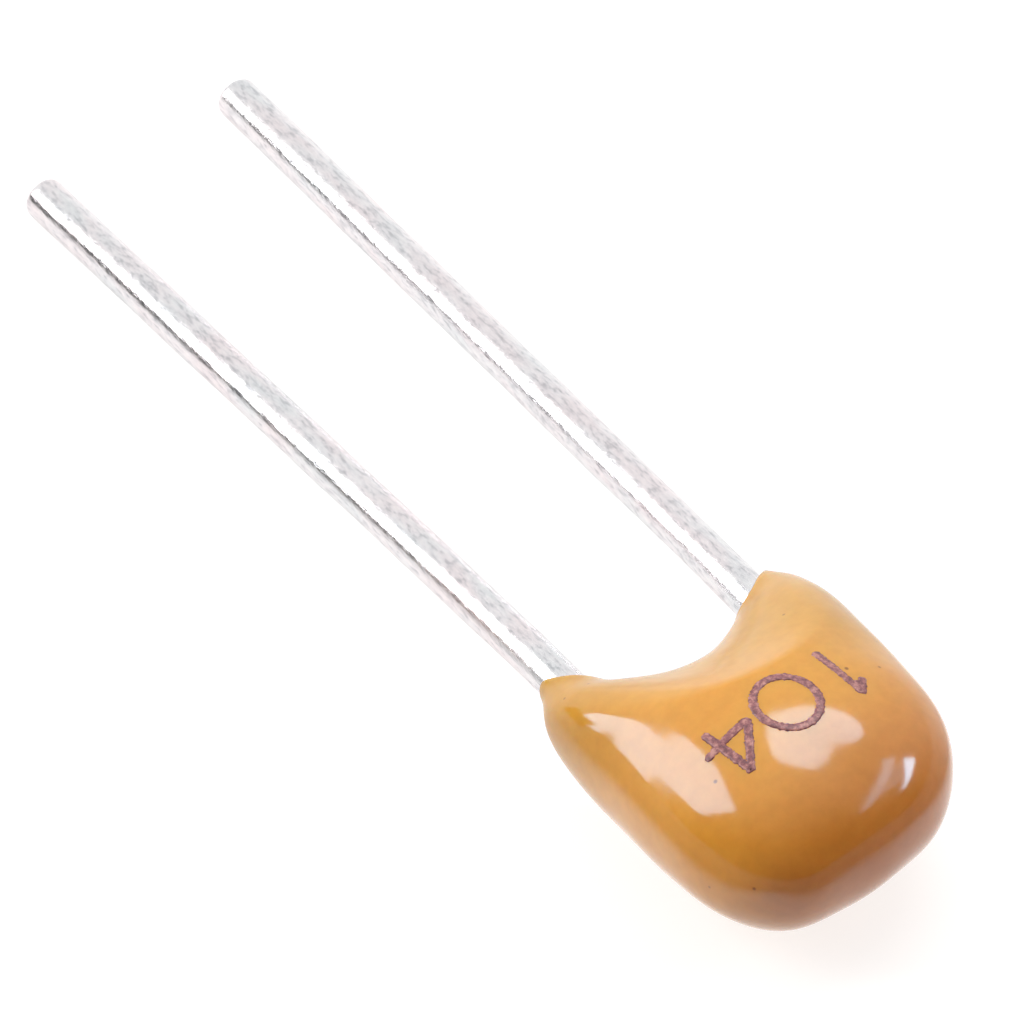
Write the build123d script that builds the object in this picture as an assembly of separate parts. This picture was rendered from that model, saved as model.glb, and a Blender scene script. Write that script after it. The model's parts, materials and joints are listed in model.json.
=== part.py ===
from build123d import *
import os
from math import atan, cos, degrees, pi, radians, sin

# Radial-leaded multilayer ceramic capacitor, millimetres, +Z up.
# It lies on its back, with the belly of its coat and the tips of both leads on the floor.
# It is modelled upright in plan first: X runs across the leads, +Y along them to their tips,
# Z through the coat's thickness, with Y = 0 where the coat ends on the leads.

# Lead wires; the splay parts them towards their tips, the sway bends both towards -X
lead_pitch = 2.54
lead_diameter = 0.51
lead_length = 10.3
lead_splay_deg = 0.57
lead_sway_deg = 1.35
lead_bend_start = 0.15
lead_bend_radius = 10.0
lead_tip_round = 0.08

# Dipped coat, as sizes from the crown, its thickest point
coat_thickness = 2.6
coat_width = 3.68
crown_y = -2.42
ear_reach = 2.43
base_reach = 2.23
saddle_depth = 0.81
saddle_half_width = 1.59

# How much further the right ear and the left end of the base reach, as a share of their reach
ear_slant = 0.07
base_slant = 0.14

# How square the coat's outline is from the front, and how full it is from the side
ear_squareness = 6.6
base_squareness = 2.83
saddle_power = 1.5
fullness = 2.2

# How much of the ears' reach is lost from mid-thickness to the crown, as they thin to the leads
ear_taper = 0.82
ear_taper_power = 1.8

# Collars, the coat's last stretch on each lead
collar_length = 0.9
collar_root_radius = 0.45
collar_film = 0.05

# Ceramic chip
chip_width = 1.25
chip_thickness = 1.25
chip_centre_y = -2.7
chip_edge_break = 0.06

# End terminations
termination_thickness = 0.04
termination_band = 0.35

# Electrode plates
plates_per_side = 5
plate_thickness = 0.02
plate_end_margin = 0.2
plate_side_margin = 0.15
cover_thickness = 0.15

# Solder
solder_gap = 0.02
solder_film = 0.05
solder_foot = 0.42
solder_setback = 0.05
solder_wick = 0.35

# Fineness of the coat's skin, and how far round from the full width its flat flanks stand
points_per_section = 32
section_count = 13
flank_flat_deg = 12.0

lead_radius = lead_diameter / 2
lead_x = lead_pitch / 2
crown_height = coat_thickness / 2
full_half_width = coat_width / 2 / cos(radians(flank_flat_deg))
chip_top_y = chip_centre_y + chip_width / 2
chip_bottom_y = chip_centre_y - chip_width / 2

# The chip fills the room between the two leads, less a film of solder at each end.
chip_length = 2 * (lead_x - lead_radius - solder_gap)
ceramic_length = chip_length - 2 * termination_thickness


def full_share(part, power):
    """What is left of one reach of a superellipse, from 1 to 0, as its other reach is used up."""
    return max(0.0, 1 - abs(part) ** power) ** (1 / power)


def coat_reach(x, level):
    """How far the coat reaches from its crown to the ears' side and to the base's side.

    The level is the height above mid-thickness as a share of the crown's height. The coat's
    outline at each level is the outline at mid-thickness, shrunk towards the crown. The ears
    lose more of their reach than the rest, so the coat thins towards the leads.
    """
    share = full_share(level, fullness)
    if share == 0:
        return 0.0, 0.0
    across = x / share
    flare = 1 - abs(level) ** ear_taper_power
    ears = ear_reach * (1 - ear_taper * (1 - flare))
    ears *= full_share(across / full_half_width, ear_squareness)
    ears *= 1 + ear_slant * across / full_half_width
    inside = max(0.0, 1 - (across / saddle_half_width) ** 2)
    ears -= saddle_depth * flare * inside**saddle_power
    base = base_reach * full_share(across / full_half_width, base_squareness)
    base *= 1 - base_slant * across / full_half_width
    return share * ears, share * base


def coat_section(x):
    """The coat's section at one place across the leads, as a closed smooth curve."""
    top_level = full_share(x / full_half_width, fullness)
    steps = [i / points_per_section for i in range(points_per_section + 1)]
    points = []
    for step in steps[:-1]:
        angle = 2 * pi * step
        level = top_level * sin(angle)
        ears, base = coat_reach(x, level)
        y = crown_y + ears if cos(angle) >= 0 else crown_y - base
        points.append(Vector(x, y, crown_height * level))
    return Wire([Edge.make_spline(points, periodic=True, parameters=steps)])


def collar(side):
    """The coat's last stretch on one lead, thinning to a film at its edge."""
    root = Plane(origin=(side * lead_x, -collar_length, 0), z_dir=(0, 1, 0))
    edge_radius = lead_radius + collar_film
    align = (Align.CENTER, Align.CENTER, Align.MIN)
    return root * Cone(collar_root_radius, edge_radius, collar_length, align=align)


def coat_skin():
    """The outside of the dipped coat as a solid, lofted from flank to flank, with its collars."""
    span = 180 - 2 * flank_flat_deg
    sections = []
    for i in range(section_count):
        angle = radians(flank_flat_deg + span * i / (section_count - 1))
        sections.append(coat_section(-full_half_width * cos(angle)))
    return Solid.make_loft(sections) + collar(-1) + collar(1)


def lead_wire(side):
    """One wire, from the chip's lower edge to its tip, bent a little where it leaves the coat."""
    buried = Line((side * lead_x, chip_bottom_y), (side * lead_x, lead_bend_start))
    turn = lead_sway_deg - side * lead_splay_deg
    bend = JernArc(buried @ 1, buried % 1, lead_bend_radius, turn)
    free = Line(bend @ 1, bend @ 1 + (lead_length - (bend @ 1).Y) * (bend % 1))
    start = Plane(origin=buried @ 0, z_dir=buried % 0)
    wire = sweep(start * Circle(lead_radius), path=buried + bend + free)
    tip = wire.faces().sort_by(Axis.Y)[-1]
    return fillet(tip.edges(), lead_tip_round)


def chip_envelope():
    """The fired chip's outer shape, with its tumbled edges."""
    block = Box(ceramic_length, chip_width, chip_thickness)
    block = chamfer(block.edges(), chip_edge_break)
    return Pos(0, chip_centre_y, 0) * block


def end_termination(side, envelope):
    """The metal cap on one end of the chip."""
    wrap = 2 * termination_thickness
    cap = Box(ceramic_length + wrap, chip_width + wrap, chip_thickness + wrap)
    cap = chamfer(cap.edges(), chip_edge_break + termination_thickness / 2)
    band_centre = side * (chip_length - termination_band) / 2
    band = Pos(band_centre, 0, 0) * Box(termination_band, 2 * chip_width, 2 * chip_thickness)
    return Pos(0, chip_centre_y, 0) * (cap & band) - envelope


def plate_heights():
    """Heights of all plates, from the lowest to the highest."""
    count = 2 * plates_per_side
    span = chip_thickness - 2 * cover_thickness - plate_thickness
    return [span * (i / (count - 1) - 0.5) for i in range(count)]


def electrode_plates(side):
    """Every second plate of the stack, open to one end of the chip."""
    first = 0 if side < 0 else 1
    plates = []
    for height in plate_heights()[first::2]:
        length = ceramic_length - plate_end_margin
        plate = Box(length, chip_width - 2 * plate_side_margin, plate_thickness)
        place = Pos(side * plate_end_margin / 2, chip_centre_y, height)
        plates.append(place * plate)
    return Compound(children=plates)


def solder_joint(side, lead, termination):
    """Solder between a lead and the chip's end, drawn in round the wire and wicked up it."""
    end_x = side * chip_length / 2
    wire_x = side * lead_x
    wrap = lead_radius + solder_film
    length = chip_width - 2 * solder_setback
    across = Plane(origin=(0, chip_top_y - solder_setback, 0), x_dir=(1, 0, 0), z_dir=(0, -1, 0))
    foot_top = (end_x, solder_foot)
    foot_bottom = (end_x, -solder_foot)
    wire_top = (wire_x, wrap)
    wire_bottom = (wire_x, -wrap)
    hollow = ((end_x * 0.35 + wire_x * 0.65), wrap + (solder_foot - wrap) * 0.15)
    hollow_below = (hollow[0], -hollow[1])
    outline = Wire(
        [
            Edge.make_line(foot_bottom, foot_top),
            Edge.make_three_point_arc(foot_top, hollow, wire_top),
            Edge.make_line(wire_top, wire_bottom),
            Edge.make_three_point_arc(wire_bottom, hollow_below, foot_bottom),
        ]
    )
    face = Face(outline) + Pos(wire_x, 0) * Circle(wrap)
    body = extrude(across * face, length, dir=(0, -1, 0))
    up_the_wire = Plane(origin=(wire_x, chip_top_y - solder_setback, 0), z_dir=(0, 1, 0))
    wick = Cone(wrap, lead_radius, solder_wick, align=(Align.CENTER, Align.CENTER, Align.MIN))
    body += up_the_wire * wick
    return body - lead - termination


def rest_tilt(coat, lead):
    """Angle in degrees at which the coat's belly and the tips of the leads touch one floor."""
    tilt = 0.0
    arm = lead_length - crown_y
    for _ in range(8):
        turn = Rot(X=-tilt)
        coat_low = (turn * coat).bounding_box().min.Z
        lead_low = (turn * lead).bounding_box().min.Z
        tilt += degrees(atan((lead_low - coat_low) / arm))
    return tilt


def main():
    skin = coat_skin()
    envelope = chip_envelope()
    sides = {"left": -1, "right": 1}
    leads = {name: lead_wire(side) for name, side in sides.items()}
    caps = {name: end_termination(side, envelope) for name, side in sides.items()}
    plates = {name: electrode_plates(side) for name, side in sides.items()}
    solder = {name: solder_joint(side, leads[name], caps[name]) for name, side in sides.items()}

    nodes = {}
    ceramic = envelope
    coat = skin - envelope
    for name in sides:
        for plate in plates[name].children:
            ceramic -= plate
        coat = coat - caps[name] - solder[name] - leads[name]
        nodes[f"lead_wire_{name}"] = leads[name]
        nodes[f"end_termination_{name}"] = caps[name]
        nodes[f"electrode_plates_{name}"] = plates[name]
        nodes[f"solder_joint_{name}"] = solder[name]
    nodes["ceramic_chip"] = ceramic
    nodes["epoxy_coating"] = coat

    tilt = rest_tilt(skin, leads["left"])
    laid = Rot(X=-tilt)
    whole = Compound([laid * skin, laid * leads["left"], laid * leads["right"]]).bounding_box()
    place = Pos(-whole.center().X, -whole.center().Y, -whole.min.Z) * laid
    print(f"tilt {tilt:.3f} degrees, size {whole.size}")

    os.makedirs("parts", exist_ok=True)
    for name, shape in nodes.items():
        export_step(place * shape, f"parts/{name}.step")


main()
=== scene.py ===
import json
from math import atan2, copysign, cos, hypot, pi, radians, sin

import bpy
import numpy as np
from mathutils import Matrix, Vector
from mathutils.bvhtree import BVHTree


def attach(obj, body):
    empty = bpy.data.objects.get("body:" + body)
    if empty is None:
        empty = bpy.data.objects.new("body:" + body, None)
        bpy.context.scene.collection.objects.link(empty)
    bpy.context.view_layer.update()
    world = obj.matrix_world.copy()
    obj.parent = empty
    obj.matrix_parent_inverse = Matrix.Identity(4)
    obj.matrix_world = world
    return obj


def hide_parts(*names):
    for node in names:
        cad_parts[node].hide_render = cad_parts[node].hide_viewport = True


# A dipped ceramic capacitor that lies on its back on a white table.
# Its shapes are worked out in the part's own plan, in millimetres: X across the leads, +Y along
# them to their tips, Z through the coat, and Y = 0 where the coat ends on the leads. PLAN takes
# them to the frame's metres. The table, the cards' distances and all materials are in metres.

MM = 0.001

# Coat, as in the solids: sizes from its crown, and how square and how full it is
COAT_HALF_WIDTH = 1.881
COAT_HALF_THICKNESS = 1.3
CROWN_Y = -2.42
EAR_REACH = 2.43
BASE_REACH = 2.23
SADDLE_DEPTH = 0.81
SADDLE_HALF_WIDTH = 1.59
EAR_SLANT = 0.07
BASE_SLANT = 0.14
EAR_SQUARENESS = 6.6
BASE_SQUARENESS = 2.83
SADDLE_POWER = 1.5
FULLNESS = 2.2
EAR_TAPER = 0.82
EAR_TAPER_POWER = 1.8

# Slow unevenness of the coat's skin
COAT_WAVE_LENGTHS = (1.6, 0.9)
COAT_WAVE_SIZE = 0.004
COAT_SEED = 11

# Leads; the photograph shows them cut a little unevenly
LEAD_RADIUS = 0.255
LEAD_X = 1.27
LEAD_LENGTHS = {-1: 10.4, 1: 10.54}
LEAD_BURIED = 3.3
LEAD_BURIED_RINGS = 12
LEAD_BEND_START = 0.15
LEAD_BEND_RADIUS = 10.0
LEAD_TIP_ROUND = 0.08
LEAD_TIP_RINGS = 7
LEAD_TIP_CROWN = 0.004
LEAD_SIDES = 72
LEAD_RING_STEP = 0.09

# Slow unevenness of the wires, drawn out along them
LEAD_WAVE_LENGTHS = (0.9, 0.45)
LEAD_WAVE_SIZE = 0.0022
LEAD_WAVE_STRETCH = (1, 0.35, 1)
LEAD_SEED = 20

# The collar that the coat draws out along each wire, with its end set back on the inner side
COLLAR_ROOT_Y = -0.9
COLLAR_ROOT_THICKNESS = 0.15
COLLAR_END_Y = 0.0
COLLAR_END_THICKNESS = 0.025
COLLAR_INNER_DROP = 0.55
COLLAR_BLEND = 0.17
COLLAR_EDGE_BLEND = 0.03

# Ripples of the collar's end: how many go round the wire, their lag and their size
COLLAR_RIPPLES = [(3, 0.8, 0.02), (5, 1.0, 0.015)]

# Fineness of the coat's mesh
COAT_STEP = 0.03
COAT_MARGIN = 0.12

# Printing: three plain digits, as strokes in a unit cell, with the text's up towards the base
DIGIT_HEIGHT = 0.8
DIGIT_PITCH = 0.81
DIGIT_TURN = 10.0
DIGIT_CENTRE = (-0.06, -2.96)
ARC_POINTS = 60

# Ink strokes: flat beads whose width varies a little, and whose end rings count as a part step in
STROKE_WIDTH = 0.115
STROKE_HEIGHT = 0.004
STROKE_STEP = 0.02
STROKE_SIDES = 8
STROKE_END_INSET = 0.4
STROKE_UNEVENNESS = 0.11
STROKE_SEED = 7

# Height in the plan from which the print is dropped onto the coat
INK_DROP_Z = 3

# Camera: the photograph's direction, with a long lens
CAMERA_AZIMUTH = -33.24
CAMERA_ELEVATION = 46.69
CAMERA_LENS = 1500.0
CAMERA_SENSOR = 36.0
CAMERA_CLIP = (0.01, 5.0)
FRAME_WIDTH = 11.661
AIM_LEFT = 1.601
AIM_UP = 1.425

# Studio cards, as outlines seen from the coat's crown, in shares of their distance
CARD_DISTANCE = 0.12
LEFT_WINDOW = [
    (0.35, -0.39), (0.41, -0.26), (0.38, -0.17), (0.23, -0.06), (0.18, 0.04), (0.2, 0.12),
    (0.25, 0.2), (0.27, 0.27), (0.24, 0.33), (0.18, 0.42), (-0.01, 0.47), (-0.25, 0.53),
    (-0.29, 0.45), (-0.28, 0.18), (-0.25, -0.05), (-0.19, -0.11), (-0.13, -0.13), (-0.06, -0.17),
    (-0.02, -0.22), (-0.02, -0.32), (-0.03, -0.5), (0.2, -0.5),
]
RIGHT_WINDOW = [
    (-0.25, 0.01), (-0.26, -0.06), (-0.17, -0.13), (-0.1, -0.18), (-0.02, -0.2), (0.06, -0.22),
    (0.14, -0.23), (0.22, -0.21), (0.31, -0.18), (0.38, -0.12), (0.41, -0.04), (0.37, 0.04),
    (0.3, 0.08), (0.2, 0.1), (0.1, 0.125), (0.0, 0.14), (-0.09, 0.15), (-0.19, 0.11),
]
FAR_WINDOW = [(-0.1, 0.27), (-0.1, 0.17), (0.12, 0.1), (0.28, -0.01), (0.27, 0.03), (0.12, 0.17)]
NEAR_WINDOW = [
    (-0.11, 0.08), (-0.15, -0.1), (0.04, -0.14), (0.19, -0.15), (0.18, -0.13), (0.05, -0.03),
]
HAZE_WINDOW = [(-0.03, 0.19), (-0.05, 0.1), (0.12, -0.05), (0.22, 0.03)]

# Each window's name, azimuth, elevation, outline and radiance
WINDOWS = [
    ("window_left", -50, 28, LEFT_WINDOW, 6.3),
    ("window_right", 50, 62, RIGHT_WINDOW, 6.3),
    ("window_far", 118, 28, FAR_WINDOW, 4.4),
    ("window_near", 118, 28, NEAR_WINDOW, 12.5),
    ("window_haze", 118, 28, HAZE_WINDOW, 1.6),
]

# A small dark flag beside the leads, which draws the dark line along them
FLAG_DISTANCE = 0.015
FLAG_CENTRE = (0.0, 4.9, 0.0)
FLAG_AZIMUTH = -52
FLAG_ELEVATION = 5
FLAG = [(-0.27, -0.13), (0.45, -0.13), (0.45, 0.14), (-0.27, 0.14)]

# The room's light: its bright side, its dark and bright colours and the cosines between them
BRIGHT_AZIMUTH = 28.0
BRIGHT_ELEVATION = 35.0
ROOM_COLOURS = [(0.0, (0.24, 0.11, 0.05)), (1.0, (0.79, 0.79, 0.79))]
ROOM_SPAN = (-0.2, 0.8)

# How much brighter it is low down on the bright side
LOW_SPAN = (0.1, 0.5)
LOW_BRIGHT_SPAN = (0.2, 0.7)
LOW_LIFT = 0.15

# Table, and the share of white that the camera sees it glow by
TABLE_HALF = 0.6
TABLE_COLOUR = (0.35, 0.35, 0.35, 1)
TABLE_ROUGHNESS = 0.9
TABLE_WHITE = 0.78

# The table's glow that the part sees: near it, within spans to the side, before it and under the
# leads, in full for glossy rays and in part for others; and far off, by direction, for glossy rays
NEAR_ASIDE = (0.003, 0.005)
NEAR_BEFORE = (-0.0115, -0.0085)
NEAR_LEADS = (-0.0038, -0.0018)
NEAR_LEADS_SHARE = 0.6
NEAR_DIFFUSE_SHARE = 0.4
NEAR_GLOSSY_SHARE = 0.6
FAR_SPAN = (0.0, 0.6)
FAR_GLOW = 0.58
BODY_Y = -0.0052

# Coat's material: colours along slow noise, fine tints, pits, a painted shade that comes in towards the
#  base and the right, and a tint, darker and less red, that comes in towards the ears. Scales are per
#  metre.
WHITE = (1.0, 1.0, 1.0)
COAT_SCALE = 550.0
COAT_COLOURS = [(0.3, (0.71, 0.325, 0.042)), (0.5, (0.74, 0.355, 0.052)), (0.7, (0.77, 0.38, 0.067))]
FINE_SCALE = 6000.0
FINE_TINTS = [(0.35, (0.93, 0.92, 0.9)), (0.65, WHITE)]
PIT_SCALE = 2300.0
PIT_TINTS = [(0.035, (0.42, 0.34, 0.4)), (0.075, WHITE)]
BASE_WAY = (0.4, -0.9, 0.0)
BASE_SPAN = (0.005, 0.0071)
BASE_SHADE_TINT = (0.84, 0.66, 0.8)
EAR_WAY = (0.25, 1.0, 0.0)
EAR_SPAN = (-0.0055, -0.0038)
EAR_TINT = (0.83, 0.91, 0.94)
COAT_FINISH = {
    "Roughness": 0.115,
    "IOR": 1.66,
    "Specular Tint": (0.42, 0.73, 1.0, 1),
    "Subsurface Weight": 0.35,
    "Subsurface Radius": (1.0, 0.4, 0.15),
    "Subsurface Scale": 0.0005,
}
PEEL_SCALE = 2600.0
PEEL_BUMP = {"Strength": 0.05, "Distance": 0.00005}

# Tin, drawn out along the wires
TIN_STRETCH = (1.0, 0.3, 1.0)
TIN_SCALE = 20000.0
TIN_GREYS = [(0.32, (0.68, 0.68, 0.7)), (0.48, (0.92, 0.91, 0.92)), (0.66, (1.0, 0.99, 0.99))]
TIN_TINT_SCALE = 3000.0
TIN_TINTS = [(0.35, (0.93, 0.95, 0.96)), (0.5, (1.0, 0.98, 0.99)), (0.65, (1.0, 0.94, 0.95))]
TIN_ROUGHNESS = {"To Min": 0.14, "To Max": 0.28}
TIN_BUMP = {"Strength": 0.2, "Distance": 0.00003}

# Ink, mottled as a stamped print
INK_SCALE = 15000.0
INK_COLOURS = [(0.38, (0.15, 0.055, 0.065)), (0.5, (0.29, 0.11, 0.12)), (0.62, (0.5, 0.25, 0.22))]
INK_ROUGHNESS = 0.4

# Finishes of the solids that the coat hides, by the first word of their names: each finish's
# name, dark and pale colours, grain, metallic share and roughness
INNER_FINISHES = {
    "ceramic": ("fired_ceramic", (0.36, 0.24, 0.15), (0.5, 0.36, 0.24), 9000.0, 0.0, 0.7),
    "electrode": ("electrode_metal", (0.36, 0.36, 0.35), (0.5, 0.5, 0.48), 9000.0, 1.0, 0.5),
    "end": ("termination_metal", (0.5, 0.5, 0.48), (0.66, 0.66, 0.64), 7000.0, 1.0, 0.45),
    "solder": ("solder", (0.5, 0.51, 0.52), (0.68, 0.69, 0.7), 3000.0, 1.0, 0.3),
}

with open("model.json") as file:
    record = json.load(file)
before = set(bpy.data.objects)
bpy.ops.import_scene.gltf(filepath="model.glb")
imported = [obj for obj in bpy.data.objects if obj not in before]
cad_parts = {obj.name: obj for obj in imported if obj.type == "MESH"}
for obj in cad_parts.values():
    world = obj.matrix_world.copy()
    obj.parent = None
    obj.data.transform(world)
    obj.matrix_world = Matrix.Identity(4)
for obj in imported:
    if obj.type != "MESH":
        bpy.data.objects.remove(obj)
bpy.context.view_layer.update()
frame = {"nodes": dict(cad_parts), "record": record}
mounts = {m["name"]: m for m in frame["record"]["mounts"]}
MOUNT_OF_SIDE = {-1: mounts["left_lead"], 1: mounts["right_lead"]}
ink_chance = np.random.default_rng(STROKE_SEED)


def lead_lean(side):
    """Angle between one wire's free stretch and the plan's +Y, towards +X."""
    x, y, z = MOUNT_OF_SIDE[side]["axis"]
    return atan2(x, hypot(y, z))


def bend_end(side):
    """Where one wire's bend ends and its straight free stretch starts, and that stretch's way."""
    lean = lead_lean(side)
    x = side * LEAD_X + copysign(LEAD_BEND_RADIUS * (1 - cos(lean)), lean)
    y = LEAD_BEND_START + LEAD_BEND_RADIUS * sin(abs(lean))
    return np.array([x, y, 0]), np.array([sin(lean), cos(lean), 0])


def plan_matrix():
    """Turns the plan's millimetres into the frame's metres, from where the mounts lie in both."""
    left_axis = MOUNT_OF_SIDE[-1]["axis"]
    turn = Matrix.Rotation(atan2(left_axis[2], left_axis[1]), 4, "X")
    origin = Vector()
    for side, mount in MOUNT_OF_SIDE.items():
        start, way = bend_end(side)
        middle = Vector(start + way * mount["dims"]["length_mm"] / 2)
        origin += (Vector(mount["pos_m"]) - turn @ middle * MM) / 2
    return Matrix.Translation(origin) @ turn @ Matrix.Scale(MM, 4)


PLAN = plan_matrix()


def new_object(name, data):
    """A new object in the scene that holds a mesh or a camera."""
    made = bpy.data.objects.new(name, data)
    bpy.context.scene.collection.objects.link(made)
    return made


def mesh_piece(name, points, faces):
    """A smooth mesh piece from points in the plan and faces of any size."""
    mesh = bpy.data.meshes.new(name)
    mesh.from_pydata([tuple(p) for p in points], [], [tuple(f) for f in faces])
    mesh.transform(PLAN)
    mesh.shade_smooth()
    mesh.validate()
    return new_object(name, mesh)


def waves(points, lengths, size, seed):
    """A seeded sum of slow waves over space, about size high and lengths long."""
    chance = np.random.default_rng(seed)
    total = np.zeros(points.shape[:-1])
    for length in lengths:
        for _ in range(4):
            way = chance.normal(size=3)
            way *= 2 * pi / length / np.linalg.norm(way)
            total += np.sin(points @ way + chance.uniform(0, 2 * pi))
    return total * size / (2 * len(lengths)) ** 0.5


def coat_measure(p):
    """Signed measure of the dipped coat: under 0 inside, 0 on its skin, in about millimetres.

    The level stops just short of the crown's, and the slant of the reaches stops outside the
    coat, so that the measure stays finite everywhere.
    """
    x, y, z = p[..., 0], p[..., 1], np.abs(p[..., 2])
    level = np.minimum(z / COAT_HALF_THICKNESS, 0.9999)
    share = (1 - level**FULLNESS) ** (1 / FULLNESS)
    across = x / share / COAT_HALF_WIDTH
    along = (y - CROWN_Y) / share
    slant = np.clip(across, -1.5, 1.5)
    flare = 1 - level**EAR_TAPER_POWER
    ears = EAR_REACH * (1 - EAR_TAPER * (1 - flare)) * (1 + EAR_SLANT * slant)
    base = BASE_REACH * (1 - BASE_SLANT * slant)
    inside = np.maximum(0, 1 - (across * COAT_HALF_WIDTH / SADDLE_HALF_WIDTH) ** 2)
    saddle = SADDLE_DEPTH * flare * inside**SADDLE_POWER
    up = np.abs(across) ** EAR_SQUARENESS + (np.maximum(along + saddle, 0) / ears) ** EAR_SQUARENESS
    down = np.abs(across) ** BASE_SQUARENESS + (np.abs(along) / base) ** BASE_SQUARENESS
    outline = np.where(along >= 0, up ** (1 / EAR_SQUARENESS), down ** (1 / BASE_SQUARENESS))
    reach = (outline * share) ** FULLNESS + (z / COAT_HALF_THICKNESS) ** FULLNESS
    return (reach ** (1 / FULLNESS) - 1) * COAT_HALF_THICKNESS


def smooth_union(a, b, blend):
    """The lower of two measures, with a fillet about blend wide where they meet."""
    mix = np.clip(0.5 + 0.5 * (b - a) / blend, 0, 1)
    return b * (1 - mix) + a * mix - blend * mix * (1 - mix)


def collar_measure(p, side):
    """Signed measure of the collar on one lead, which thins to an uneven end."""
    dx, dz = p[..., 0] - side * LEAD_X, p[..., 2]
    turn = np.arctan2(dz, dx * side)
    along = np.clip((p[..., 1] - COLLAR_ROOT_Y) / (COLLAR_END_Y - COLLAR_ROOT_Y), 0, 1.2)
    thickness = COLLAR_ROOT_THICKNESS * (1 - along) + COLLAR_END_THICKNESS * along
    wall = np.hypot(dx, dz) - LEAD_RADIUS - thickness
    ripples = [size * np.sin(turn * count + lag * side) for count, lag, size in COLLAR_RIPPLES]
    end = COLLAR_END_Y + sum(ripples) - COLLAR_INNER_DROP * (1 - np.cos(turn)) / 2
    cut = np.maximum(p[..., 1] - end, COLLAR_ROOT_Y - p[..., 1])
    return -smooth_union(-wall, -cut, COLLAR_EDGE_BLEND)


def coat_field(p):
    """The coat with its collars on the leads and the slow unevenness of its skin."""
    field = coat_measure(p) + waves(p, COAT_WAVE_LENGTHS, COAT_WAVE_SIZE, COAT_SEED)
    for side in (-1, 1):
        field = smooth_union(field, collar_measure(p, side), COLLAR_BLEND)
    return field


def slope(field, points, step=0.002):
    """Gradient of a field at points, by central differences."""
    steps = np.eye(3) * step
    return np.stack([field(points + s) - field(points - s) for s in steps], axis=-1) / (2 * step)


def onto_surface(field, points, rounds=3):
    """Points moved along the field's gradient until they lie on its zero surface."""
    for _ in range(rounds):
        grad = slope(field, points)
        size = np.sum(grad**2, axis=-1, keepdims=True)
        points = points - field(points)[:, None] * grad / np.maximum(size, 1e-9)
    return points


def crossing_quads(inside, index):
    """Outward quads of four crossed cells each, round every grid edge that crosses the surface."""
    quads = []
    for axis in range(3):
        second, third = np.eye(3, dtype=int)[[(axis + 1) % 3, (axis + 2) % 3]]
        length = inside.shape[axis]
        lower = np.take(inside, range(length - 1), axis)
        upper = np.take(inside, range(1, length), axis)
        for outward in (True, False):
            cells = np.argwhere(lower & ~upper if outward else upper & ~lower)
            ring = [cells - second - third, cells - third, cells, cells - second]
            quad = np.stack([index[tuple(c.T)] for c in ring], axis=-1)
            quads.append(quad if outward else quad[:, ::-1])
    return np.concatenate(quads)


def surface_net(field, low, high, step, rounds=3):
    """Closed mesh of quads on the zero surface of a field, one point for each crossed cell.

    Each round evens the points out among their quads and puts them back on the surface.
    """
    axes = [np.arange(a, b + step, step) for a, b in zip(low, high)]
    nodes = np.stack(np.meshgrid(*axes, indexing="ij"), axis=-1)
    inside = field(nodes) < 0
    count = np.zeros([n - 1 for n in inside.shape], int)
    nx, ny, nz = count.shape
    for i in (0, 1):
        for j in (0, 1):
            for k in (0, 1):
                count += inside[i : i + nx, j : j + ny, k : k + nz]
    crossed = (count > 0) & (count < 8)
    index = np.full(crossed.shape, -1)
    index[crossed] = np.arange(crossed.sum())
    points = nodes[:-1, :-1, :-1][crossed] + step / 2
    quads = crossing_quads(inside, index)
    for _ in range(rounds):
        total = np.zeros_like(points)
        number = np.zeros(len(points))
        middle = points[quads].mean(axis=1)
        for corner in range(4):
            np.add.at(total, quads[:, corner], middle)
            np.add.at(number, quads[:, corner], 1)
        points = onto_surface(field, total / number[:, None])
    return points, quads


def coat_skin():
    """The whole outside of the coat as one closed mesh."""
    low = np.array([-COAT_HALF_WIDTH, CROWN_Y - BASE_REACH, -COAT_HALF_THICKNESS]) - COAT_MARGIN
    high = np.array([COAT_HALF_WIDTH, CROWN_Y + EAR_REACH, COAT_HALF_THICKNESS]) + COAT_MARGIN
    points, quads = surface_net(coat_field, low, high, COAT_STEP)
    piece = mesh_piece("coat_skin", points, quads)
    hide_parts("epoxy_coating")
    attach(piece, "root")
    return piece


def lead_line(side):
    """Centres of the rings along one wire, the way to its tip, and each ring's radius."""
    buried = np.linspace(-LEAD_BURIED, LEAD_BEND_START, LEAD_BURIED_RINGS)
    centres = [np.array([side * LEAD_X, y, 0]) for y in buried]
    start, way = bend_end(side)
    free = LEAD_LENGTHS[side] - start[1]
    straight = np.arange(0, free - LEAD_TIP_ROUND, LEAD_RING_STEP)
    centres += [start + way * distance for distance in straight]
    radii = [LEAD_RADIUS] * len(centres)
    for turn in np.linspace(0, pi / 2, LEAD_TIP_RINGS):
        centres.append(start + way * (free - LEAD_TIP_ROUND * (1 - sin(turn))))
        radii.append(LEAD_RADIUS - LEAD_TIP_ROUND * (1 - cos(turn)))
    return np.array(centres), way, np.array(radii)


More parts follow.
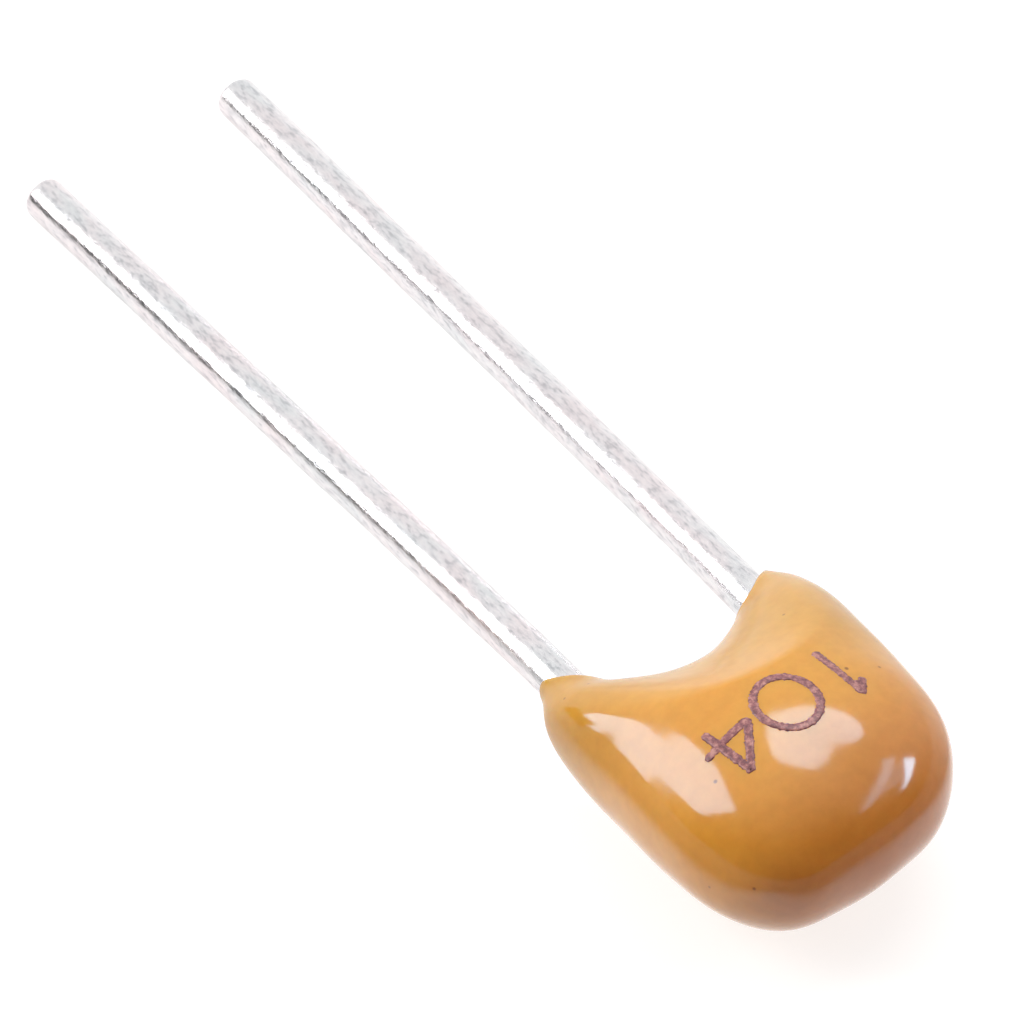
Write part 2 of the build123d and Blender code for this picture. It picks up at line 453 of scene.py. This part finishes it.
def lead_skin(side, name):
    """One tinned wire, very slightly uneven along its length, closed at both ends."""
    centres, way, radii = lead_line(side)
    across = np.cross(way, [0, 0, 1])
    angles = np.arange(LEAD_SIDES) * 2 * pi / LEAD_SIDES
    rim = np.cos(angles)[:, None] * across + np.sin(angles)[:, None] * np.array([0, 0, 1])
    points = centres[:, None] + rim[None] * radii[:, None, None]
    stretched = points * np.array(LEAD_WAVE_STRETCH)
    uneven = waves(stretched, LEAD_WAVE_LENGTHS, LEAD_WAVE_SIZE, LEAD_SEED + side)
    points = (points + rim[None] * uneven[..., None]).reshape(-1, 3)
    last = (len(centres) - 1) * LEAD_SIDES
    start_middle, tip_middle = len(points), len(points) + 1
    points = np.vstack([points, centres[0], centres[-1] + way * LEAD_TIP_CROWN])
    faces = []
    for a in range(0, last, LEAD_SIDES):
        b = a + LEAD_SIDES
        for i in range(LEAD_SIDES):
            j = (i + 1) % LEAD_SIDES
            faces.append((a + i, b + i, b + j, a + j))
    for i in range(LEAD_SIDES):
        j = (i + 1) % LEAD_SIDES
        faces.append((start_middle, i, j))
        faces.append((tip_middle, last + j, last + i))
    piece = mesh_piece(f"lead_skin_{name}", points, faces)
    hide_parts(f"lead_wire_{name}")
    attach(piece, "root")
    return piece


def arc(centre, reach_x, reach_y, start, end):
    """Points along an arc of an ellipse, in the digit's unit cell."""
    turns = np.radians(np.linspace(start, end, ARC_POINTS))
    return [(centre[0] + reach_x * cos(t), centre[1] + reach_y * sin(t)) for t in turns]


def digit_strokes():
    """Strokes of each digit in a unit cell, x to the reader's right and y up, from -0.5 to 0.5."""
    one = [[(-0.2, 0.27), (0.02, 0.5), (0.02, -0.5)], [(-0.1, 0.31), (0.02, 0.36)]]
    nought = [arc((0, 0), 0.46, 0.5, 90, 450)]
    four = [[(0.16, -0.5), (0.16, 0.5), (-0.4, -0.16), (0.42, -0.16)]]
    return [one, nought, four]


def resampled(path, step):
    """Evenly spaced points along a path, both ends kept."""
    path = np.array(path)
    run = np.concatenate([[0], np.cumsum(np.linalg.norm(np.diff(path, axis=0), axis=1))])
    count = max(3, int(run[-1] / step))
    at = np.linspace(0, run[-1], count)
    return np.stack([np.interp(at, run, path[:, i]) for i in range(2)], axis=-1)


def stroke_mesh(tree, path, points, faces):
    """Adds one ink stroke that lies on the coat: a flat bead, rounded and closed at both ends."""
    closed = np.allclose(path[0], path[-1])
    if closed:
        path = path[:-1]
    sides = STROKE_SIDES
    first = len(points)
    count = len(path)
    for i, (x, y) in enumerate(path):
        before = path[i - 1] if i or closed else path[i]
        after = path[(i + 1) % count] if i < count - 1 or closed else path[i]
        hit, normal, _, _ = tree.ray_cast(Vector((x, y, INK_DROP_Z)), Vector((0, 0, -1)))
        way = Vector((*(after - before), 0)).normalized()
        beside = normal.cross(way).normalized()
        steps_in = min(i, count - 1 - i) + STROKE_END_INSET
        end = 1.0 if closed else min(1, steps_in * STROKE_STEP / (STROKE_WIDTH / 2))
        narrow = (1 - (1 - end) ** 2) ** 0.5
        half = STROKE_WIDTH / 2 * narrow * (1 + STROKE_UNEVENNESS * ink_chance.normal())
        for k in range(sides):
            turn = 2 * pi * (k + 0.5) / sides
            points.append(hit + beside * half * cos(turn) + normal * STROKE_HEIGHT * sin(turn) * narrow)
    spans = count if closed else count - 1
    for i in range(spans):
        a, b = first + i * sides, first + (i + 1) % count * sides
        for k in range(sides):
            m = (k + 1) % sides
            faces.append((a + k, a + m, b + m, b + k))
    if not closed:
        faces.append(tuple(first + k for k in reversed(range(sides))))
        faces.append(tuple(first + (count - 1) * sides + k for k in range(sides)))


def printed_value(coat):
    """Three plain digits printed on the crown, read with the leads pointing down."""
    inverse = PLAN.inverted()
    corners = [inverse @ v.co for v in coat.data.vertices]
    tree = BVHTree.FromPolygons(corners, [tuple(p.vertices) for p in coat.data.polygons])
    turn = radians(DIGIT_TURN)
    right = np.array([-cos(turn), -sin(turn)])
    up = np.array([sin(turn), -cos(turn)])
    points, faces = [], []
    for place, strokes in zip((-1, 0, 1), digit_strokes()):
        centre = np.array(DIGIT_CENTRE) + right * DIGIT_PITCH * place
        for stroke in strokes:
            path = np.array([centre + (right * x + up * y) * DIGIT_HEIGHT for x, y in stroke])
            stroke_mesh(tree, resampled(path, STROKE_STEP), points, faces)
    piece = mesh_piece("printed_value", points, faces)
    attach(piece, "root")
    return piece


def material(name):
    """A new node material, with its tree and its shader."""
    made = bpy.data.materials.new(name)
    made.use_nodes = True
    tree = made.node_tree
    return made, tree, tree.nodes["Principled BSDF"]


def set_inputs(tree, node, inputs):
    """Sets inputs of a node to values or to other nodes' outputs."""
    for key, value in inputs.items():
        if isinstance(value, bpy.types.NodeSocket):
            tree.links.new(value, node.inputs[key])
        else:
            node.inputs[key].default_value = value


def add(tree, kind, inputs=(), **settings):
    """A new node with settings, and inputs that are values or other nodes' outputs."""
    node = tree.nodes.new(kind)
    for key, value in settings.items():
        setattr(node, key, value)
    set_inputs(tree, node, dict(inputs))
    return node


def calc(tree, operation, *values):
    """Result of one sum on numbers."""
    return add(tree, "ShaderNodeMath", dict(enumerate(values)), operation=operation).outputs[0]


def dot(tree, first, second):
    """Dot product of two vectors."""
    inputs = {0: first, 1: second}
    return add(tree, "ShaderNodeVectorMath", inputs, operation="DOT_PRODUCT").outputs["Value"]


def smooth_range(tree, value, span, at_start, at_end):
    """A number that goes smoothly from one value to another over a span."""
    source = {"Value": value, "From Min": span[0], "From Max": span[1]}
    inputs = {**source, "To Min": at_start, "To Max": at_end}
    return add(tree, "ShaderNodeMapRange", inputs, interpolation_type="SMOOTHSTEP").outputs["Result"]


def ramp(tree, factor, stops):
    """A colour ramp through stops of place and colour."""
    node = add(tree, "ShaderNodeValToRGB", {"Fac": factor})
    elements = node.color_ramp.elements
    while len(elements) < len(stops):
        elements.new(0.5)
    for element, (place, colour) in zip(elements, stops):
        element.position = place
        element.color = (*colour, 1)
    return node.outputs["Color"]


def multiply(tree, product, *others):
    """Product of colours. A mix node numbers its colour sockets 6 and 7, and their result 2."""
    for other in others:
        inputs = {0: 1.0, 6: product, 7: other}
        node = add(tree, "ShaderNodeMix", inputs, data_type="RGBA", blend_type="MULTIPLY")
        product = node.outputs[2]
    return product


def noise(tree, vector, scale, detail=3.0, rough=0.5):
    """Procedural noise at a scale in features per metre."""
    inputs = {"Vector": vector, "Scale": scale, "Detail": detail, "Roughness": rough}
    return add(tree, "ShaderNodeTexNoise", inputs).outputs["Fac"]


def object_place(tree):
    """Place on the object, in metres."""
    return add(tree, "ShaderNodeTexCoord").outputs["Object"]


def toward_light(tree, way):
    """Cosine of the angle between a way and the room's bright side."""
    az, el = radians(BRIGHT_AZIMUTH), radians(BRIGHT_ELEVATION)
    return dot(tree, way, (cos(el) * sin(az), cos(el) * cos(az), sin(el)))


def tint_towards(tree, place, way, span, tint):
    """White that turns smoothly to a tint along a way over the part."""
    share = smooth_range(tree, dot(tree, place, way), span, 0.0, 1.0)
    return ramp(tree, share, [(0.0, WHITE), (1.0, tint)])


def bump(tree, height, depth):
    """Normals of a bumpy surface."""
    return add(tree, "ShaderNodeBump", {"Height": height, **depth}).outputs["Normal"]


def epoxy_material():
    """Glossy orange-yellow dipped epoxy with fine pits, and painted shade towards the base."""
    made, tree, shader = material("dipped_epoxy")
    place = object_place(tree)
    colour = ramp(tree, noise(tree, place, COAT_SCALE, 2.0), COAT_COLOURS)
    fine = ramp(tree, noise(tree, place, FINE_SCALE, 4.0, 0.6), FINE_TINTS)
    specks = add(tree, "ShaderNodeTexVoronoi", {"Vector": place, "Scale": PIT_SCALE})
    pits = ramp(tree, specks.outputs["Distance"], PIT_TINTS)
    # Painted shade: the coat is darker and redder towards the base and the right.
    painted_base_shade = tint_towards(tree, place, BASE_WAY, BASE_SPAN, BASE_SHADE_TINT)
    # Darker and less red towards the ears.
    toward_ears_tint = tint_towards(tree, place, EAR_WAY, EAR_SPAN, EAR_TINT)
    colour = multiply(tree, colour, fine, pits, painted_base_shade, toward_ears_tint)
    normal = bump(tree, noise(tree, place, PEEL_SCALE, 2.0), PEEL_BUMP)
    set_inputs(tree, shader, {"Base Color": colour, "Normal": normal, **COAT_FINISH})
    return made


def tin_material():
    """Satin tinned wire with fine streaks along it."""
    made, tree, shader = material("tinned_wire")
    drawn_out = {"Vector": object_place(tree), "Scale": TIN_STRETCH}
    along = add(tree, "ShaderNodeMapping", drawn_out).outputs["Vector"]
    streaks = noise(tree, along, TIN_SCALE, 4.0, 0.6)
    grey = ramp(tree, streaks, TIN_GREYS)
    tint = ramp(tree, noise(tree, along, TIN_TINT_SCALE, 2.0), TIN_TINTS)
    rough = add(tree, "ShaderNodeMapRange", {"Value": streaks, **TIN_ROUGHNESS}).outputs["Result"]
    inputs = {"Base Color": multiply(tree, grey, tint), "Metallic": 1.0, "Roughness": rough}
    set_inputs(tree, shader, {**inputs, "Normal": bump(tree, streaks, TIN_BUMP)})
    return made


def ink_material():
    """Mottled dark ink."""
    made, tree, shader = material("printed_ink")
    colour = ramp(tree, noise(tree, object_place(tree), INK_SCALE, 4.0, 0.65), INK_COLOURS)
    set_inputs(tree, shader, {"Base Color": colour, "Roughness": INK_ROUGHNESS})
    return made


def inner_material(name, dark, pale, scale, metallic, roughness):
    """A quiet finish for a piece that the coat hides."""
    made, tree, shader = material(name)
    grain = noise(tree, object_place(tree), scale, 4.0, 0.6)
    colour = ramp(tree, grain, [(0.3, dark), (0.7, pale)])
    set_inputs(tree, shader, {"Base Color": colour, "Metallic": metallic, "Roughness": roughness})
    return made


def dress(piece, finish):
    """Gives a piece one material."""
    piece.data.materials.clear()
    piece.data.materials.append(finish)


def finish_inner_pieces():
    """Gives each solid that the coat hides its finish."""
    finishes = {word: inner_material(*finish) for word, finish in INNER_FINISHES.items()}
    for name, node in frame["nodes"].items():
        finish = finishes.get(name.split("_")[0])
        if finish:
            dress(node, finish)


def table_glow(tree):
    """Strength of the table's glow: the camera's white, and what the part sees in it."""
    rays = add(tree, "ShaderNodeLightPath").outputs
    camera, glossy = rays["Is Camera Ray"], rays["Is Glossy Ray"]
    place = add(tree, "ShaderNodeSeparateXYZ", {"Vector": object_place(tree)}).outputs
    beside = smooth_range(tree, calc(tree, "ABSOLUTE", place["X"]), NEAR_ASIDE, 1.0, 0.0)
    before = smooth_range(tree, place["Y"], NEAR_BEFORE, 0.0, 1.0)
    by_leads = smooth_range(tree, place["Y"], NEAR_LEADS, 1.0, NEAR_LEADS_SHARE)
    near = calc(tree, "MULTIPLY", calc(tree, "MULTIPLY", beside, before), by_leads)
    share = calc(tree, "MULTIPLY_ADD", glossy, NEAR_GLOSSY_SHARE, NEAR_DIFFUSE_SHARE)
    ahead = calc(tree, "SUBTRACT", place["Y"], BODY_Y)
    flat = add(tree, "ShaderNodeCombineXYZ", {"X": place["X"], "Y": ahead}).outputs[0]
    way = add(tree, "ShaderNodeVectorMath", {0: flat}, operation="NORMALIZE").outputs[0]
    far = smooth_range(tree, toward_light(tree, way), FAR_SPAN, 0.0, FAR_GLOW)
    near, far = calc(tree, "MULTIPLY", near, share), calc(tree, "MULTIPLY", glossy, far)
    shine = calc(tree, "MAXIMUM", near, far)
    unseen = calc(tree, "MULTIPLY", shine, calc(tree, "SUBTRACT", 1.0, camera))
    return calc(tree, "MULTIPLY_ADD", camera, TABLE_WHITE, unseen)


def table_top():
    """White table, wide enough for every view, that keeps the part's shadow."""
    half = TABLE_HALF
    corners = [(-half, -half, 0), (half, -half, 0), (half, half, 0), (-half, half, 0)]
    mesh = bpy.data.meshes.new("table_top")
    mesh.from_pydata(corners, [], [(0, 1, 2, 3)])
    table = new_object("table_top", mesh)
    made, tree, shader = material("white_table")
    finish = {"Base Color": TABLE_COLOUR, "Roughness": TABLE_ROUGHNESS, "Specular IOR Level": 0.0}
    set_inputs(tree, shader, finish)
    glow = add(tree, "ShaderNodeEmission", {"Color": (*WHITE, 1), "Strength": table_glow(tree)})
    both = add(tree, "ShaderNodeAddShader", {0: shader.outputs[0], 1: glow.outputs[0]})
    tree.links.new(both.outputs[0], tree.nodes["Material Output"].inputs["Surface"])
    mesh.materials.append(made)


def set_camera():
    """Camera that sees the part as the photograph does."""
    az, el = radians(CAMERA_AZIMUTH), radians(CAMERA_ELEVATION)
    back = Vector((cos(el) * sin(az), -cos(el) * cos(az), sin(el)))
    right = Vector((cos(az), sin(az), 0))
    up = back.cross(right)
    aim = PLAN @ Vector((0, 0, 0)) - right * AIM_LEFT * MM + up * AIM_UP * MM
    distance = FRAME_WIDTH * MM * CAMERA_LENS / CAMERA_SENSOR
    data = bpy.data.cameras.new("camera")
    data.lens = CAMERA_LENS
    data.sensor_width = CAMERA_SENSOR
    data.clip_start, data.clip_end = CAMERA_CLIP
    camera = new_object("camera", data)
    camera.rotation_mode = "QUATERNION"
    camera.location = aim + back * distance
    camera.rotation_quaternion = back.to_track_quat("Z", "Y")
    bpy.context.scene.camera = camera


def card(name, azimuth, elevation, outline, radiance, middle=(0, CROWN_Y, 0), distance=CARD_DISTANCE):
    """A flat studio card that faces one place of the part, glowing or, at 0, dark."""
    az, el = radians(azimuth), radians(elevation)
    toward = Vector((cos(el) * sin(az), cos(el) * cos(az), sin(el)))
    right = Vector((cos(az), -sin(az), 0))
    up = right.cross(toward)
    centre = PLAN @ Vector(middle)
    points = [centre + (toward + right * x + up * y) * distance for x, y in outline]
    mesh = bpy.data.meshes.new(name)
    mesh.from_pydata(points, [], [tuple(range(len(points)))])
    piece = new_object(name, mesh)
    piece.visible_camera = False
    made, tree, _ = material(name)
    glow = add(tree, "ShaderNodeEmission", {"Color": (*WHITE, 1), "Strength": radiance})
    tree.links.new(glow.outputs[0], tree.nodes["Material Output"].inputs["Surface"])
    mesh.materials.append(made)


def set_room():
    """White to the camera; to the part, warm and dark on one side and bright on the other."""
    world = bpy.data.worlds.new("studio")
    world.use_nodes = True
    tree = world.node_tree
    way = add(tree, "ShaderNodeTexCoord").outputs["Generated"]
    bright = toward_light(tree, way)
    light = ramp(tree, smooth_range(tree, bright, ROOM_SPAN, 0.0, 1.0), ROOM_COLOURS)
    height = add(tree, "ShaderNodeSeparateXYZ", {"Vector": way}).outputs["Z"]
    low = smooth_range(tree, height, LOW_SPAN, 1.0, 0.0)
    lift = smooth_range(tree, bright, LOW_BRIGHT_SPAN, 0.0, LOW_LIFT)
    strength = calc(tree, "MULTIPLY_ADD", low, lift, 1.0)
    camera = add(tree, "ShaderNodeLightPath").outputs["Is Camera Ray"]
    room = add(tree, "ShaderNodeBackground", {"Color": light, "Strength": strength})
    white = add(tree, "ShaderNodeBackground", {"Color": (*WHITE, 1), "Strength": 1.0})
    seen = add(tree, "ShaderNodeMixShader", {0: camera, 1: room.outputs[0], 2: white.outputs[0]})
    tree.links.new(seen.outputs[0], tree.nodes["World Output"].inputs["Surface"])
    bpy.context.scene.world = world


bpy.context.scene.view_settings.view_transform = "Standard"
set_camera()
coat = coat_skin()
dress(coat, epoxy_material())
tin = tin_material()
for lead_side, lead_name in ((-1, "left"), (1, "right")):
    dress(lead_skin(lead_side, lead_name), tin)
dress(printed_value(coat), ink_material())
finish_inner_pieces()
table_top()
for window in WINDOWS:
    card(*window)
card("flag_by_leads", FLAG_AZIMUTH, FLAG_ELEVATION, FLAG, 0.0, FLAG_CENTRE, FLAG_DISTANCE)
set_room()
